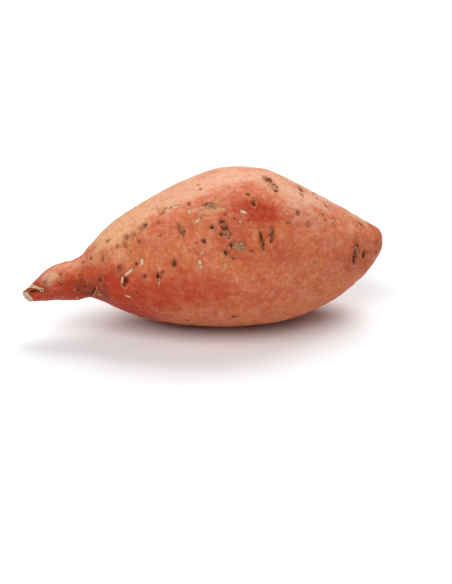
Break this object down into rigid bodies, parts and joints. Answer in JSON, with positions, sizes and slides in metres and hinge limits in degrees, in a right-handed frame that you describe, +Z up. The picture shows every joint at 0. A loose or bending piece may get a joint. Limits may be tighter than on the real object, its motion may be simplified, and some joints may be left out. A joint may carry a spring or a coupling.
{
  "type": "sweet potato",
  "caption": "Whole raw sweet potato: swollen root with coppery skin, a narrow neck ending in a cut stalk and a blunt tail, lying on a small flat spot.",
  "frame": {"origin": "centre of the root's box in plan, at the height of the surface it rests on", "axes": "+X along the root from the cut stalk to the blunt tail, +Y to the back, +Z up"},
  "size_m": [0.1756, 0.0834, 0.0761],
  "materials": {
    "skin": "dry coppery red skin, slightly dull, with corky side-root scars"
  },
  "bodies": {
    "root": {"sweet_potato": "skin"}
  },
  "joints": []
}
